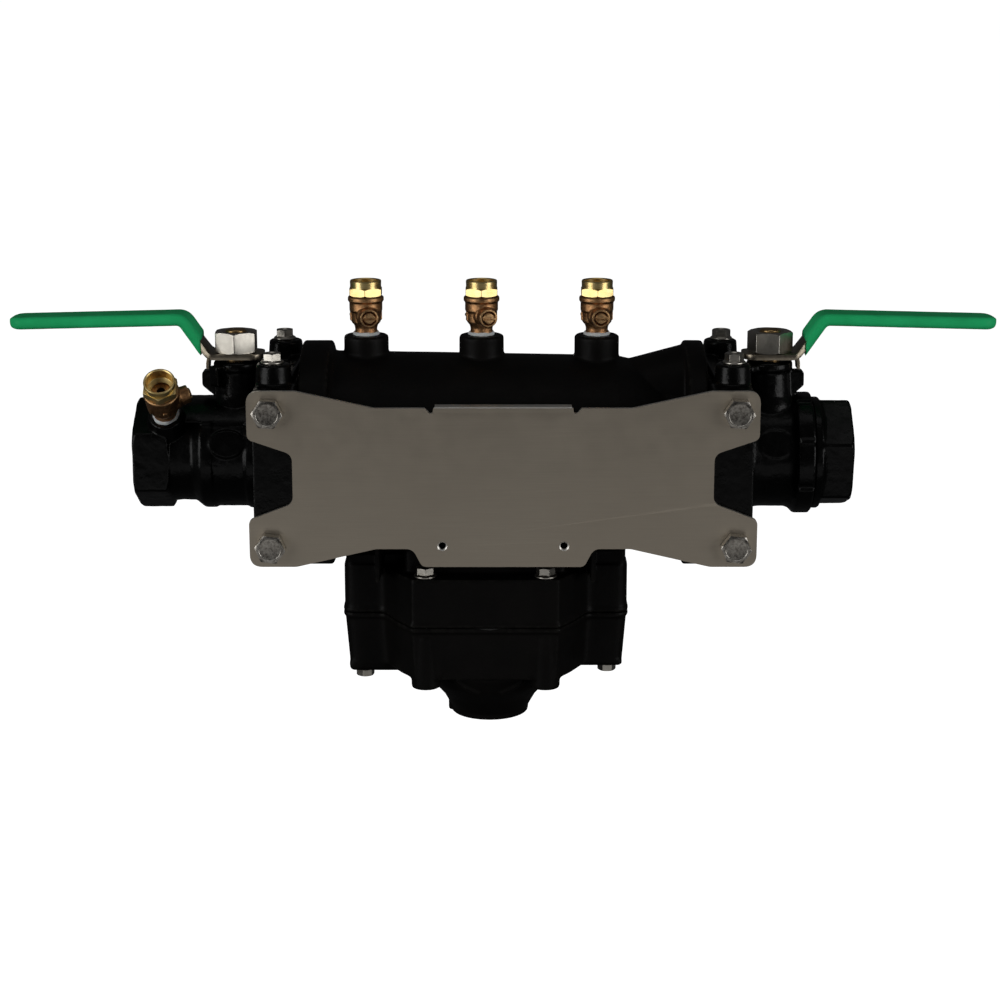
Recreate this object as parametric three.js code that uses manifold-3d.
// Reduced-pressure-zone backflow preventer for a DN 40 (1-1/2 inch) pipe, in millimetres.
// Two sprung check valves sit in a straight moulded body, a relief valve hangs under it, and a
// quarter-turn ball valve is clamped on each end. Two steel plates tie the end yokes together.
// The origin is the centre of the inlet port's face, +X runs with the flow and +Z is up.

import * as THREE from 'three';
import { mergeVertices } from 'three/addons/utils/BufferGeometryUtils.js';
import Module from 'manifold-3d';

const wasm = await Module();
wasm.setup();

// ---- driving dimensions -------------------------------------------------------------------

const GAP = 0.3; // between two pieces that touch
const INLET_FACE = -226; // all places along X count from the middle of the assembly
const OUTLET_FACE = 214;
const TURN = Math.PI * 2;

// Sides of round shapes, from the barrel down to the drilled holes.
const LARGE = 32;
const MEDIUM = 24;
const SMALL = 14;
const FINE = 12;
const TINY = 8;

const PIPE = { socketR: 22.3, socketDepth: 20, boreR: 19, hexFlat: 61, hexChamfer: 2.8 };

const RAMP = { radius: 30, length: 60, rise: 0.2615, startX: 62.6, startZ: 23.8 };
const BARREL = {
  flangeR: 69.5,
  endX: 123,
  inletFlangeX: -105,
  outletFlangeX: 111,
  inletR: 63.3,
  outletR: 60.3,
  waistR: 51,
  moduleBoreR: 44.4,
  zoneBoreR: 36,
  shoulderX: 51,
};
const TAP = { x: [-84, -13.2, 57.5], bossR: 13.65, topZ: 74, holeR: 7.3, holeDepth: 11, ductR: 3 };

const RELIEF = {
  x: -10.8,
  topZ: -69,
  bodyBottomZ: -99.5,
  coverTopZ: -99.8,
  coverFloorZ: -133.5,
  bossBottomZ: -139.8,
  lobeBottomZ: -138.7,
  shortLobeZ: -135.2,
  ventRimZ: -168,
  ventShift: 2.4,
  frontY: 48.4,
  sideX: 88.6,
  lobeHalf: 15,
  cornerX: 36.9,
  cornerY: 41,
  cornerR: 9.4,
  sideBoltX: 76.7,
  draft: 0.97,
  chamberR: 38,
  cavityR: 44,
  ductX: 62,
  lift: 8,
};

const VALVE = {
  x: 164,
  ballR: 26.5,
  cavityR: 27.2,
  bodyR: 34.2,
  neckR: 12.75,
  neckTop: 58.6,
  stemR: 7,
  tailR: 44,
  tailOuterX: 150,
  tailInnerX: 110,
  tailBoreR: 20.5,
  screwR: 34.6,
  screwX: 140,
  saddleR: 35.7,
  saddleX: [-193.5, -155],
  saddleZ: 24,
};

const YOKE = {
  inner: 123.3,
  outer: 148,
  halfY: 72.4,
  halfZ: 52,
  corner: 13,
  boltX: 138,
  boltY: 42,
  bossR: 10.5,
  bossTop: 63.9,
};
const PLATE = {
  face: 75.6,
  thick: 2.9,
  boltX: 138.1,
  boltZ: 40.7,
  holeR: 5.4,
  smallHoleX: 36.2,
  smallHoleZ: -40.2,
  lipHalf: 40.6,
  lipDepth: 8,
  lipZ: 44.2,
};
const LEVER = {
  z: 60.2,
  thick: 3.2,
  headHalf: 12.5,
  armHalf: 9,
  inboard: 17,
  bend: 17,
  riseX: 32.6,
  riseZ: 86.2,
  tipX: 138,
  tipZ: 83.8,
};
const GRIP = { thick: 7.6, half: 11.5, startX: 21, slotHalf: 9.4 };
const COCK = {
  stemZ: 12.5,
  hexBottom: 24.4,
  hexTop: 28.9,
  top: 34.6,
  tilt: (42 * Math.PI) / 180,
  hubX: -205,
  hubR: 39.4,
  yaws: [0.18, 0.28, 0.12],
  firstYaw: 2,
  bossEnd: 16.4,
  stemEnd: 17.6,
  slotDepth: 2,
};
const CHECK = { ringR: 44, seatR: 21, ring: 9, length: 57, poppetR: 26, stemR: 5, hub: 52, springR: 14 };
const BOLT = {
  m6: 3,
  m6Hole: 3.4,
  m6Flats: 10.2,
  m6Head: 6,
  m10: 5,
  m10Flats: 16,
  m10Head: 6.6,
  m10Length: 21.5,
};
const NUT = { flats: 24.4, height: 13 };

// ---- materials ----------------------------------------------------------------------------

function material(color, roughness, metalness) {
  return new THREE.MeshStandardMaterial({ color, roughness, metalness });
}

const MATERIALS = {
  composite: () => material(0x191a18, 0.62, 0),
  epoxy: () => material(0x111110, 0.32, 0),
  plate: () => material(0x8f8a7c, 0.38, 1),
  steel: () => material(0xb8b2a4, 0.3, 1),
  brass: () => material(0xd8b765, 0.26, 1),
  bronze: () => material(0x8a5c40, 0.42, 1),
  vinyl: () => material(0x159a62, 0.36, 0),
  acetal: () => material(0xd9d6c8, 0.45, 0),
  rubber: () => material(0x1c1c1c, 0.8, 0),
};

// ---- shape helpers ------------------------------------------------------------------------

// A closed solid from a geometry. Vertices in one place are joined and empty triangles dropped.
function solid(geometry) {
  const bare = geometry.index ? geometry.toNonIndexed() : geometry.clone();
  bare.deleteAttribute('normal');
  bare.deleteAttribute('uv');
  const merged = mergeVertices(bare, 1e-4);
  const corners = merged.index.array;
  const kept = [];
  for (let i = 0; i < corners.length; i += 3) {
    const [a, b, c] = [corners[i], corners[i + 1], corners[i + 2]];
    if (a !== b && b !== c && c !== a) kept.push(a, b, c);
  }
  const vertProperties = new Float32Array(merged.attributes.position.array);
  const triVerts = new Uint32Array(kept);
  return new wasm.Manifold(new wasm.Mesh({ numProp: 3, vertProperties, triVerts }));
}

function geometryOf(manifold) {
  const mesh = manifold.getMesh();
  const geometry = new THREE.BufferGeometry();
  geometry.setAttribute('position', new THREE.BufferAttribute(new Float32Array(mesh.vertProperties), 3));
  geometry.setIndex(new THREE.BufferAttribute(new Uint32Array(mesh.triVerts), 1));
  geometry.computeVertexNormals();
  return geometry;
}

function join(...geometries) {
  return geometryOf(geometries.map(solid).reduce((whole, piece) => whole.add(piece)));
}

function cut(geometry, ...tools) {
  return geometryOf(tools.map(solid).reduce((whole, tool) => whole.subtract(tool), solid(geometry)));
}

// A solid of revolution about Z. The profile is [radius, height] points, anticlockwise when radius
// runs to the right: it starts and ends on the axis, or it closes on itself.
function turned(profile, segments = MEDIUM) {
  const points = profile.map(([radius, height]) => new THREE.Vector2(radius, height));
  const onAxis = profile[0][0] === 0;
  if (!onAxis) points.push(points[0].clone());
  return new THREE.LatheGeometry(points, segments).rotateX(Math.PI / 2);
}

// The same about the X axis: heights in the profile become places along X.
function turnedX(profile, segments = MEDIUM) {
  return turned(profile, segments).rotateY(Math.PI / 2);
}

function rod(radius, low, high, segments = SMALL) {
  return turned([[0, low], [radius, low], [radius, high], [0, high]], segments);
}

function rodX(radius, low, high, segments = MEDIUM) {
  return rod(radius, low, high, segments).rotateY(Math.PI / 2);
}

function rodY(radius, low, high, segments = SMALL) {
  return rod(radius, low, high, segments).rotateX(-Math.PI / 2);
}

function block(low, high) {
  const size = high.map((value, i) => value - low[i]);
  const middle = high.map((value, i) => (value + low[i]) / 2);
  return new THREE.BoxGeometry(...size).translate(...middle);
}

function outline(points) {
  return new THREE.Shape(points.map(([x, y]) => new THREE.Vector2(x, y)));
}

function prism(shape, low, high) {
  return new THREE.ExtrudeGeometry(shape, { depth: high - low, bevelEnabled: false }).translate(0, 0, low);
}

// A regular hexagonal prism along Z. A bevel, when asked for, cuts a cone off the corners at both ends.
function hexagon(acrossFlats, low, high, bevel = 0, first = 0) {
  const radius = acrossFlats / Math.sqrt(3);
  const corners = [0, 1, 2, 3, 4, 5].map((i) => {
    const angle = first + (i * TURN) / 6;
    return [radius * Math.cos(angle), radius * Math.sin(angle)];
  });
  const body = prism(outline(corners), low, high);
  if (!bevel) return body;
  const flat = radius - bevel;
  const rise = bevel * 0.6;
  const round = turned([
    [0, low],
    [flat, low],
    [radius, low + rise],
    [radius, high - rise],
    [flat, high],
    [0, high],
  ]);
  return geometryOf(solid(body).intersect(solid(round)));
}

// Points of a rounded corner, from one angle to another.
function arc(x, y, radius, from, to, steps = 5) {
  const points = [];
  for (let i = 0; i <= steps; i += 1) {
    const angle = from + ((to - from) * i) / steps;
    points.push([x + radius * Math.cos(angle), y + radius * Math.sin(angle)]);
  }
  return points;
}

// The four quarters of a convex outline that is alike on all sides, from its first quarter.
function mirroredQuarters(quarter) {
  const back = [...quarter].reverse();
  return [
    ...quarter,
    ...back.map(([x, y]) => [-x, y]),
    ...quarter.map(([x, y]) => [-x, -y]),
    ...back.map(([x, y]) => [x, -y]),
  ];
}

// A coil spring along Z, with plain ends.
function coil(meanR, wireR, low, high, turns) {
  const bottom = low + wireR;
  const rise = high - low - wireR * 2;
  class Helix extends THREE.Curve {
    getPoint(t) {
      const angle = t * turns * TURN;
      return new THREE.Vector3(meanR * Math.cos(angle), meanR * Math.sin(angle), bottom + rise * t);
    }
  }
  const section = new THREE.Shape().absarc(0, 0, wireR, 0, TURN);
  const options = { steps: Math.round(turns * 9), extrudePath: new Helix(), curveSegments: 3 };
  return new THREE.ExtrudeGeometry(section, options);
}

// ---- the assembly -------------------------------------------------------------------------

const assembly = new THREE.Group();
assembly.position.x = -INLET_FACE;

function add(name, geometry, finish, parent = assembly) {
  const mesh = new THREE.Mesh(geometry, MATERIALS[finish]());
  mesh.name = name;
  parent.add(mesh);
  return mesh;
}

function group(x, y, z) {
  const made = new THREE.Group();
  made.position.set(x, y, z);
  assembly.add(made);
  return made;
}

// ---- main body ----------------------------------------------------------------------------

// The relief chamber's outline, seen from above: a boss at each corner and a lobe at each end.
function reliefOutline(inset = 0) {
  const lobeR = 9 - inset / 2;
  const lobeX = RELIEF.sideX - inset - lobeR;
  const lobeY = RELIEF.lobeHalf - inset - lobeR;
  const quarter = [
    ...arc(lobeX, lobeY, lobeR, 0, Math.PI / 2, 3),
    [RELIEF.sideX - 25, RELIEF.lobeHalf - inset],
    [RELIEF.cornerX + 15.5 - inset, RELIEF.frontY - 10],
    ...arc(RELIEF.cornerX, RELIEF.cornerY, RELIEF.cornerR - inset, 0.35, Math.PI / 2, 3),
    [RELIEF.cornerX - 7, RELIEF.frontY - inset],
  ];
  return outline(mirroredQuarters(quarter));
}

function mainBody() {
  const b = BARREL;
  const barrel = turnedX([
    [0, -b.endX],
    [b.flangeR - 1.5, -b.endX],
    [b.flangeR, -b.endX + 1.5],
    [b.flangeR, b.inletFlangeX - 2],
    [b.flangeR - 2, b.inletFlangeX],
    [b.inletR, b.inletFlangeX],
    [b.outletR, 70],
    [b.outletR - 2, 79],
    [b.waistR, 98],
    [b.waistR, b.outletFlangeX],
    [b.flangeR - 1.5, b.outletFlangeX],
    [b.flangeR, b.outletFlangeX + 1.5],
    [b.flangeR, b.endX - 1.5],
    [b.flangeR - 1.5, b.endX],
    [0, b.endX],
  ], LARGE);
  const ramp = rodX(RAMP.radius, 0, RAMP.length).rotateY(-RAMP.rise).translate(RAMP.startX, 0, RAMP.startZ);
  const bosses = TAP.x.map((x) => rod(TAP.bossR, 42, TAP.topZ, 20).translate(x, 0, 0));
  const chamber = prism(reliefOutline(), RELIEF.bodyBottomZ, RELIEF.topZ).translate(RELIEF.x, 0, 0);
  const neck = [
    block([-RELIEF.sideX + 1, -13, RELIEF.topZ - 5], [RELIEF.sideX - 1, 13, -50]),
    block([-50, -33, RELIEF.topZ - 5], [50, 33, -46]),
  ].map((piece) => piece.translate(RELIEF.x, 0, 0));
  const whole = join(barrel, ramp, ...bosses, chamber, ...neck);
  const bores = [
    rodX(b.moduleBoreR, -b.endX - 1, -b.shoulderX, LARGE),
    rodX(b.moduleBoreR, b.shoulderX, b.endX + 9, LARGE),
    rodX(b.zoneBoreR, -b.shoulderX - 1, b.shoulderX + 1),
    rod(RELIEF.chamberR, RELIEF.bodyBottomZ - 1, RELIEF.bodyBottomZ + 22, MEDIUM)
      .translate(RELIEF.x + RELIEF.ventShift, 0, 0),
    block([-7, -9, RELIEF.bodyBottomZ - 1], [7, 9, -40]).translate(RELIEF.x - RELIEF.ductX, 0, 0),
  ];
  const taps = TAP.x.flatMap((x) => [
    rod(TAP.holeR, TAP.topZ - TAP.holeDepth, TAP.topZ + 1, FINE).translate(x, 0, 0),
    rod(TAP.ductR, 30, TAP.topZ, TINY).translate(x, 0, 0),
  ]);
  const boltHoles = coverBoltPlaces().map(({ x, y, corner }) => {
    const high = corner ? RELIEF.topZ + 1 : RELIEF.topZ - 6;
    return rod(BOLT.m6Hole, RELIEF.bodyBottomZ - 1, high, FINE).translate(x, y, 0);
  });
  return cut(whole, ...bores, ...taps, ...boltHoles);
}

// Four bolts go down through the corners and two come up at the sides, where the barrel is in the way.
function coverBoltPlaces() {
  const places = [];
  for (const [side, sign] of [['inlet', -1], ['outlet', 1]]) {
    const cornerX = RELIEF.x + sign * RELIEF.cornerX;
    places.push({ name: `${side}_front`, corner: true, x: cornerX, y: -RELIEF.cornerY });
    places.push({ name: `${side}_back`, corner: true, x: cornerX, y: RELIEF.cornerY });
    places.push({ name: `${side}_side`, corner: false, x: RELIEF.x + sign * RELIEF.sideBoltX, y: 0 });
  }
  return places;
}

function lobeBottom(place) {
  return place.name === 'outlet_side' ? RELIEF.shortLobeZ : RELIEF.lobeBottomZ;
}

function reliefCover() {
  const top = RELIEF.coverTopZ;
  const floor = RELIEF.coverFloorZ;
  const shell = prism(reliefOutline(), floor, top);
  const depth = top - floor;
  const position = shell.attributes.position;
  for (let i = 0; i < position.count; i += 1) {
    const share = 1 - ((1 - RELIEF.draft) * (top - position.getZ(i))) / depth;
    position.setXY(i, position.getX(i) * share, position.getY(i) * share);
  }
  const bosses = coverBoltPlaces().map((place) => {
    const boss = place.corner
      ? rod(RELIEF.cornerR - 0.3, RELIEF.bossBottomZ, top - 6, SMALL)
      : block([-9.2, -13.5, lobeBottom(place)], [9.2, 13.5, floor + 2]);
    return boss.translate(place.x - RELIEF.x, place.y * RELIEF.draft, 0);
  });
  const vent = turned([
    [0, RELIEF.ventRimZ],
    [23.6, RELIEF.ventRimZ],
    [24.6, RELIEF.ventRimZ + 1],
    [24.6, -164.5],
    [29, -155.6],
    [38, -146],
    [41, -138],
    [42, floor + 6],
    [0, floor + 6],
  ], MEDIUM);
  const lug = block([-26, -4, -167.5], [-18, 4, -157]);
  const lowered = [vent, lug].map((piece) => piece.translate(RELIEF.ventShift, 0, 0));
  const whole = join(shell, ...bosses, ...lowered);
  const hollow = turned([
    [0, -169],
    [19, -169],
    [19, -151.6],
    [23, -151.6],
    [23, -129],
    [RELIEF.cavityR, -129],
    [RELIEF.cavityR, -102.4],
    [49, -102.4],
    [49, top + 1],
    [0, top + 1],
  ], MEDIUM).translate(RELIEF.ventShift, 0, 0);
  const duct = block([-RELIEF.ductX - 7, -9, -124], [-30, 9, top + 1]);
  const holes = coverBoltPlaces().map((place) => {
    const low = place.corner ? -128 : lobeBottom(place) - 1;
    return rod(BOLT.m6Hole, low, top + 1, FINE).translate(place.x - RELIEF.x, place.y, 0);
  });
  return cut(whole, hollow, duct, ...holes);
}

// ---- fasteners ----------------------------------------------------------------------------

// A hex flange bolt whose head sits on z = 0 and whose shank points down.
function flangeBolt(length) {
  const flange = turned([[0, 0], [7, 0], [7, 1], [5.2, 2.4], [0, 2.4]], FINE);
  const head = hexagon(BOLT.m6Flats, 1, BOLT.m6Head, 0, TURN / 12);
  return join(flange, head, rod(BOLT.m6, -length, 1.5, TINY));
}

// A plate bolt along Y whose head stands out on the -Y side of y = 0.
function plateBolt() {
  const head = hexagon(BOLT.m10Flats, 0, BOLT.m10Head);
  return join(head, rod(BOLT.m10, -BOLT.m10Length, 0.7, FINE)).rotateX(Math.PI / 2);
}

// ---- ball valves --------------------------------------------------------------------------

// The hexagonal hub of a pipe end, along X, with its corners rounded off at both ends.
function hexHub(low, high, turnAngle) {
  return hexagon(PIPE.hexFlat, low, high, PIPE.hexChamfer, turnAngle).rotateY(Math.PI / 2);
}

function cavity(x) {
  return new THREE.SphereGeometry(VALVE.cavityR, MEDIUM, 10).rotateZ(Math.PI / 2).translate(x, 0, 0);
}

// The neck that carries the stem. Two lugs stop the lever at its open and closed ends, and an ear
// reaches out under the lever's tab.
function bonnet(x, openAngle) {
  const neck = turned([
    [0, 20],
    [13.6, 20],
    [13.6, 34],
    [VALVE.neckR, 37],
    [VALVE.neckR, VALVE.neckTop],
    [0, VALVE.neckTop],
  ], SMALL);
  const lugs = [[0.86, 44], [-2.43, 52.4]].map(([offset, low]) =>
    block([6, -4, low], [20, 4, 57]).rotateZ(openAngle + offset));
  const ear = block([6, -5, 39.5], [21, 5, 52.4]).rotateZ(openAngle);
  return join(neck, ...lugs, ear).translate(x, 0, 0);
}

function stemBore(x) {
  return rod(VALVE.stemR + 0.4, 10, 70, SMALL).translate(x, 0, 0);
}

// The tail that the yoke holds: its groove takes the two yoke bolts, which keep it from pulling out.
function tailProfile() {
  const v = VALVE;
  const groove = v.tailR - 5.5;
  return [
    [0, v.tailInnerX],
    [v.tailR - 1, v.tailInnerX],
    [v.tailR, v.tailInnerX + 1],
    [v.tailR, YOKE.boltX - 3.7],
    [groove, YOKE.boltX - 3.7],
    [groove, YOKE.boltX + 3.7],
    [v.tailR, YOKE.boltX + 3.7],
    [v.tailR, v.tailOuterX],
  ];
}

function inletValveBody() {
  const v = VALVE;
  const x = -v.x;
  const hubEnd = INLET_FACE + 21;
  const housing = turnedX([
    [0, hubEnd - 2],
    [29.5, hubEnd - 2],
    [29.5, -188.5],
    [v.bodyR, -185],
    [v.bodyR, -v.screwX - GAP],
    [0, -v.screwX - GAP],
  ], LARGE);
  const boss = rod(10.5, 15, COCK.hubR, SMALL).rotateX(COCK.tilt).translate(COCK.hubX, 0, 0);
  const saddle = cut(
    rodX(v.saddleR, v.saddleX[0], v.saddleX[1], LARGE),
    block([-200, -40, -40], [-150, 40, v.saddleZ]),
  );
  const cockHoles = [
    rod(TAP.holeR, COCK.hubR - TAP.holeDepth, COCK.hubR + 1, FINE),
    rod(TAP.ductR, 10, COCK.hubR, TINY),
  ].map((hole) => hole.rotateX(COCK.tilt).translate(COCK.hubX, 0, 0));
  const whole = join(hexHub(INLET_FACE, hubEnd, 0), housing, boss, saddle, bonnet(x, Math.PI));
  return cut(
    whole,
    rodX(PIPE.socketR, INLET_FACE - 1, INLET_FACE + PIPE.socketDepth),
    rodX(PIPE.boreR, INLET_FACE, x),
    cavity(x),
    rodX(v.cavityR, x, -v.screwX + 1),
    stemBore(x),
    ...cockHoles,
  );
}

function inletValveTail() {
  const v = VALVE;
  const tail = turnedX([...tailProfile(), [0, v.tailOuterX]], LARGE).rotateZ(Math.PI);
  return cut(
    tail,
    rodX(v.screwR, -v.tailOuterX - 1, -v.screwX, LARGE),
    cavity(-v.x),
    rodX(v.tailBoreR, -v.screwX - 1, -v.tailInnerX + 1),
  );
}

function outletValveBody() {
  const v = VALVE;
  const housing = turnedX([
    ...tailProfile(),
    [v.bodyR, v.tailOuterX],
    [v.bodyR, 178],
    [37.6, 179.5],
    [37.6, 189],
    [36.6, 190],
    [0, 190],
  ], LARGE);
  return cut(
    join(housing, bonnet(v.x, 0)),
    rodX(v.tailBoreR, v.tailInnerX - 1, v.x),
    cavity(v.x),
    rodX(v.cavityR, v.x, 181),
    rodX(32, 180, 191),
    stemBore(v.x),
  );
}

function outletEndCap() {
  const spigot = turnedX([
    [0, 180.4],
    [31.6, 180.4],
    [31.6, 190.3],
    [33.5, 190.3],
    [33.5, 196],
    [0, 196],
  ]);
  return cut(
    join(spigot, hexHub(194, OUTLET_FACE, TURN * 0.03)),
    cavity(VALVE.x),
    rodX(PIPE.boreR, 170, OUTLET_FACE),
    rodX(PIPE.socketR, OUTLET_FACE - PIPE.socketDepth, OUTLET_FACE + 1),
  );
}

function ball() {
  const sphere = new THREE.SphereGeometry(VALVE.ballR, MEDIUM, 10).rotateZ(Math.PI / 2);
  return cut(sphere, rodX(PIPE.boreR, -30, 30), block([-10.5, -4.2, 20.5], [10.5, 4.2, 30]));
}

function valveStem() {
  const shaft = turned([
    [0, 26.8],
    [VALVE.stemR, 26.8],
    [VALVE.stemR, LEVER.z + 14],
    [VALVE.stemR - 1.2, LEVER.z + 17.4],
    [0, LEVER.z + 17.4],
  ], SMALL);
  return join(shaft, block([-6, -3.6, 21], [6, 3.6, 28]));
}

// The lever lies along -X here. It runs flat over the stem, climbs, and levels out in the grip.
function leverLine() {
  return [
    [LEVER.inboard, LEVER.z],
    [-LEVER.bend, LEVER.z],
    [-LEVER.riseX, LEVER.riseZ - LEVER.thick],
    [-LEVER.tipX + 4, LEVER.tipZ - LEVER.thick],
  ];
}

// A strip of the given thickness that follows a line in the XZ plane, as wide as twice half.
function strip(line, thick, half) {
  const lower = line.map(([x, z]) => [x, z]);
  const upper = line.map(([x, z], i) => {
    const before = line[Math.max(i - 1, 0)];
    const after = line[Math.min(i + 1, line.length - 1)];
    const inward = new THREE.Vector2(x - before[0], z - before[1]).normalize();
    const outward = new THREE.Vector2(after[0] - x, after[1] - z).normalize();
    const along = inward.clone().add(outward).normalize();
    const reach = thick / Math.max(along.dot(inward.lengthSq() ? inward : outward), 0.5);
    return [x + along.y * reach, z - along.x * reach];
  });
  const shape = outline([...lower, ...upper.reverse()]);
  return prism(shape, -half, half).rotateX(Math.PI / 2);
}

function lever() {
  const top = LEVER.z + LEVER.thick;
  const head = block([-LEVER.bend, -LEVER.headHalf, LEVER.z], [LEVER.inboard, LEVER.headHalf, top]);
  const arm = strip(leverLine(), LEVER.thick, LEVER.armHalf);
  const tab = block([-LEVER.bend - 1.5, -5, 53.2], [-LEVER.bend + 1.5, 5, LEVER.z + 1]);
  const hole = rod(VALVE.stemR + 0.3, LEVER.z - 5, LEVER.z + 8);
  return cut(join(head, arm, tab), hole);
}

function grip() {
  const middle = (points, drop) => points.map(([x, z]) => [x, z - drop]);
  const line = leverLine();
  const [start, bend] = [line[1], line[2]];
  const end = [-LEVER.tipX, LEVER.tipZ - LEVER.thick];
  const wall = (GRIP.thick - LEVER.thick) / 2;
  const outer = strip(middle([start, bend, end], wall), GRIP.thick, GRIP.half);
  const plan = outline([
    [-GRIP.startX, -GRIP.half],
    [-GRIP.startX, GRIP.half],
    [-LEVER.tipX + 8, GRIP.half],
    ...arc(-LEVER.tipX + 7, 0, 7, Math.PI * 0.6, Math.PI * 1.4, 6),
    [-LEVER.tipX + 8, -GRIP.half],
  ]);
  const rounded = geometryOf(solid(outer).intersect(solid(prism(plan, 40, 110))));
  const channel = strip(middle(line.slice(1), GAP), LEVER.thick + GAP * 2, GRIP.slotHalf);
  return cut(rounded, channel);
}

function leverNut() {
  const seat = LEVER.z + LEVER.thick;
  const nut = hexagon(NUT.flats, seat + GAP, seat + NUT.height, 0, TURN / 12);
  return cut(nut, rod(VALVE.stemR + 0.3, seat, seat + NUT.height + 1));
}

// ---- yokes and plates ---------------------------------------------------------------------

function yoke(sign) {
  const y = YOKE;
  const quarter = arc(y.halfY - y.corner, y.halfZ - y.corner, y.corner, 0, Math.PI / 2, 4);
  const slab = prism(outline(mirroredQuarters(quarter)), y.inner, y.outer)
    .rotateZ(Math.PI / 2)
    .rotateY(Math.PI / 2);
  const bosses = [-1, 1].map((side) => rod(y.bossR, 40, y.bossTop).translate(y.boltX, side * y.boltY, 0));
  const yokeBoltHoles = [-1, 1].map((side) =>
    rod(BOLT.m6Hole - 0.1, -46, y.bossTop + 1, TINY).translate(y.boltX, side * y.boltY, 0));
  const plateBoltHoles = [-1, 1].flatMap((side) =>
    [-1, 1].map((level) =>
      rodY(BOLT.m10 + GAP, Math.min(side * 51, side * 80), Math.max(side * 51, side * 80), FINE)
        .translate(PLATE.boltX, 0, level * PLATE.boltZ)));
  const bore = rodX(BARREL.moduleBoreR, 100, 170, LARGE);
  const made = cut(join(slab, ...bosses), bore, ...yokeBoltHoles, ...plateBoltHoles);
  return sign > 0 ? made : made.rotateZ(Math.PI);
}

// One side of the support plate's edge, from the middle of the top round to the middle of the bottom.
function plateEdge() {
  return [
    [41, 43.3],
    [41.6, 40.4],
    [43.4, 40.4],
    [46, 43.3],
    [76, 43.3],
    [122, 53.4],
    ...arc(145, 47.7, 5.7, Math.PI / 2, 0, 4),
    [150.7, 26.4],
    [149.3, 24.2],
    [126.6, 16.4],
    [124.4, 13.4],
    [124.4, -12],
    [126.6, -15],
    [149.3, -23.9],
    [150.7, -26.2],
    ...arc(145, -47.3, 5.7, 0, -Math.PI / 2, 4),
    [123, -53],
    [75.6, -42],
    [55.6, -42],
    [53, -43.6],
    [49.8, -51.2],
    [47, -53],
  ];
}

function plate(sign) {
  const right = plateEdge();
  const left = [...right].reverse().map(([x, z]) => [-x, z]);
  const sheet = prism(outline([...right, ...left]), 0, PLATE.thick).rotateX(Math.PI / 2);
  const lip = block(
    [-PLATE.lipHalf, -PLATE.face, PLATE.lipZ - PLATE.thick],
    [PLATE.lipHalf, -PLATE.face + PLATE.lipDepth, PLATE.lipZ],
  );
  const boltHoles = [[-1, -1], [-1, 1], [1, -1], [1, 1]].map(([sx, sz]) =>
    rodY(PLATE.holeR, -80, -70, FINE).translate(sx * PLATE.boltX, 0, sz * PLATE.boltZ));
  const smallHoles = [-1, 1].map((side) =>
    rodY(2.2, -80, -70, TINY).translate(side * PLATE.smallHoleX, 0, PLATE.smallHoleZ));
  const whole = join(sheet.translate(0, -PLATE.face + PLATE.thick, 0), lip);
  const made = cut(whole, ...boltHoles, ...smallHoles);
  return sign < 0 ? made : made.rotateZ(Math.PI);
}

// ---- test cocks ---------------------------------------------------------------------------

// A test cock stands on z = 0 with its turning stem towards -Y.
function cockBody() {
  const shell = turned([
    [0, -9.5],
    [6.8, -9.5],
    [6.8, 6],
    [9.4, 8.6],
    [9.4, 14.4],
    [10.15, 15.2],
    [10.15, 20.4],
    [11.1, 21.4],
    [11.1, 23.2],
    [10.2, 24.1],
    [0, 24.1],
  ], SMALL);
  const stemBoss = rodY(5.6, 0, COCK.bossEnd, FINE).rotateZ(Math.PI).translate(0, 0, COCK.stemZ);
  return cut(
    join(shell, stemBoss),
    rod(2.6, -10, 25, TINY),
    rodY(3.9, -6, COCK.bossEnd + 1, FINE).rotateZ(Math.PI).translate(0, 0, COCK.stemZ),
  );
}

function cockStem() {
  const c = COCK;
  const shaft = rodY(3.6, -5.5, c.stemEnd, FINE).rotateZ(Math.PI).translate(0, 0, c.stemZ);
  const slot = block([-5, -c.stemEnd - 1, c.stemZ - 0.7], [5, c.slotDepth - c.stemEnd, c.stemZ + 0.7]);
  return cut(shaft, rod(2.3, 0, 30, TINY), slot);
}

function cockAdapter() {
  const hex = hexagon(19.4, COCK.hexBottom, COCK.hexTop, 0, TURN / 12);
  const round = rod(9.45, COCK.hexBottom, COCK.top);
  const bore = turned([
    [0, 23],
    [5, 23],
    [5, 25.2],
    [8.2, 26.4],
    [8.2, COCK.top + 1],
    [0, COCK.top + 1],
  ], FINE);
  return cut(join(hex, round), bore);
}

function addTestCock(name, place, tilt, yaw) {
  const stand = group(...place);
  stand.rotation.set(tilt, 0, yaw);
  add(`${name}_body`, cockBody(), 'bronze', stand);
  add(`${name}_adapter`, cockAdapter(), 'brass', stand);
  add(`${name}_stem`, cockStem(), 'bronze', stand);
}

// ---- check modules and relief valve -------------------------------------------------------

// A check module along +X: a seat ring, four posts and a spider that guides the poppet's stem.
function checkCage() {
  const c = CHECK;
  const ring = rodX(c.ringR, 0, c.ring);
  const posts = [1, 3, 5, 7].map((eighth) =>
    block([c.ring - 1, -4, 36.5], [c.length - 1, 4, 43]).rotateX((eighth * TURN) / 8));
  const bars = [1, 3].map((eighth) =>
    block([c.hub, -3.5, -42], [c.length, 3.5, 42]).rotateX((eighth * TURN) / 8));
  const hub = rodX(9, c.hub, c.length, FINE);
  const seatHole = rodX(c.seatR, -1, c.ring + 1);
  const guideHole = rodX(c.stemR + 0.4, c.hub - 1, c.length + 1, FINE);
  return cut(join(ring, ...posts, ...bars, hub), seatHole, guideHole);
}

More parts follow.
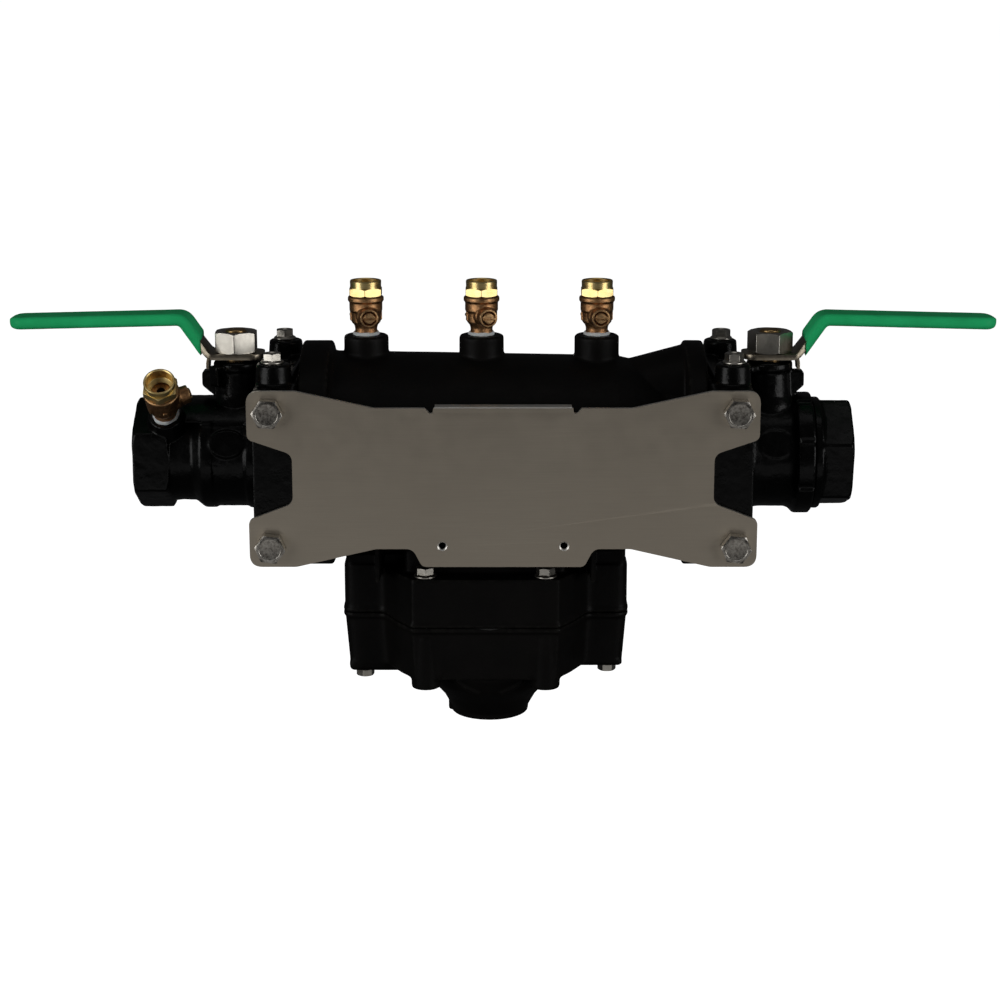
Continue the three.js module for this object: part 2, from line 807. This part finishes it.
function checkPoppet() {
  const c = CHECK;
  const front = c.ring + GAP;
  return turnedX([
    [0, front],
    [c.poppetR - 1, front],
    [c.poppetR, front + 1],
    [c.poppetR, front + 5],
    [c.poppetR - 2, front + 6],
    [c.stemR, front + 6],
    [c.stemR, c.length + 5],
    [c.stemR - 1, c.length + 6],
    [0, c.length + 6],
  ]);
}

function checkSpring() {
  return coil(CHECK.springR, 1.3, CHECK.ring + 6 + GAP * 2, CHECK.hub - GAP, 4).rotateY(Math.PI / 2);
}

function reliefStem() {
  const up = RELIEF.lift;
  return turned([
    [0, -147 + up],
    [19.5, -147 + up],
    [19.5, -143 + up],
    [5, -142 + up],
    [5, -108 + up],
    [26, -107 + up],
    [26, -103 + up],
    [5, -103 + up],
    [5, -99 + up],
    [22, -99 + up],
    [22, -96 + up],
    [5, -96 + up],
    [5, -90 + up],
    [0, -90 + up],
  ], SMALL);
}

// A moulded rubber hat: its rim is clamped under the main body and its crown between the stem's plates.
function reliefDiaphragm() {
  const up = RELIEF.lift;
  return turned([
    [5.4, -102 + up],
    [29, -102 + up],
    [36, -102.1],
    [48.6, -102.1],
    [48.6, -100.1],
    [36.8, -100.1],
    [30, -100 + up],
    [5.4, -100 + up],
  ], MEDIUM);
}

// ---- everything in place ------------------------------------------------------------------

add('main_body', mainBody(), 'composite');
add('relief_cover', reliefCover(), 'composite').position.x = RELIEF.x;
add('inlet_valve_body', inletValveBody(), 'epoxy');
add('inlet_valve_tail', inletValveTail(), 'epoxy');
add('outlet_valve_body', outletValveBody(), 'epoxy');
add('outlet_end_cap', outletEndCap(), 'epoxy');
add('inlet_yoke', yoke(-1), 'epoxy');
add('outlet_yoke', yoke(1), 'epoxy');
add('front_plate', plate(-1), 'plate');
add('back_plate', plate(1), 'plate');

for (const [side, sign] of [['inlet', -1], ['outlet', 1]]) {
  for (const [face, facing] of [['front', -1], ['back', 1]]) {
    for (const [level, rise] of [['upper', 1], ['lower', -1]]) {
      const bolt = add(`${face}_plate_bolt_${side}_${level}`, plateBolt(), 'steel');
      bolt.position.set(sign * PLATE.boltX, facing * (PLATE.face + GAP), rise * PLATE.boltZ);
      bolt.rotation.z = facing > 0 ? Math.PI : 0;
    }
    const pin = add(`${side}_yoke_bolt_${face}`, flangeBolt(108), 'steel');
    pin.position.set(sign * YOKE.boltX, facing * YOKE.boltY, YOKE.bossTop + GAP);
  }

  const handle = group(sign * VALVE.x, 0, 0);
  handle.rotation.z = sign > 0 ? Math.PI : 0;
  add(`${side}_ball`, ball(), 'steel', handle);
  add(`${side}_valve_stem`, valveStem(), 'brass', handle);
  add(`${side}_lever`, lever(), 'steel', handle);
  add(`${side}_grip`, grip(), 'vinyl', handle);
  add(`${side}_lever_nut`, leverNut(), 'steel', handle);
}

for (const place of coverBoltPlaces()) {
  const bolt = add(`cover_bolt_${place.name}`, flangeBolt(place.corner ? 56 : 54), 'steel');
  bolt.position.set(place.x, place.y, place.corner ? RELIEF.topZ + GAP : lobeBottom(place) - GAP);
  bolt.rotation.x = place.corner ? 0 : Math.PI;
}

TAP.x.forEach((x, i) => {
  addTestCock(`test_cock_${i + 2}`, [x, 0, TAP.topZ], 0, COCK.yaws[i]);
});
const hubPlace = [COCK.hubX, -COCK.hubR * Math.sin(COCK.tilt), COCK.hubR * Math.cos(COCK.tilt)];
addTestCock('test_cock_1', hubPlace, COCK.tilt, COCK.firstYaw);

const checkStarts = {
  first_check: -BARREL.shoulderX - GAP - CHECK.length,
  second_check: BARREL.shoulderX + GAP,
};
for (const [name, start] of Object.entries(checkStarts)) {
  const check = group(start, 0, 0);
  add(`${name}_cage`, checkCage(), 'acetal', check);
  add(`${name}_poppet`, checkPoppet(), 'acetal', check);
  add(`${name}_spring`, checkSpring(), 'steel', check);
}

const relief = group(RELIEF.x + RELIEF.ventShift, 0, 0);
add('relief_stem', reliefStem(), 'brass', relief);
add('relief_diaphragm', reliefDiaphragm(), 'rubber', relief);
add('relief_spring', coil(23, 1.5, -128.7, -108 + RELIEF.lift - GAP, 3), 'steel', relief);
const seatRing = turned([[15, -151.3], [22.6, -151.3], [22.6, -147.6], [15, -147.6]], MEDIUM);
add('relief_seat', seatRing, 'brass', relief);

export default assembly;
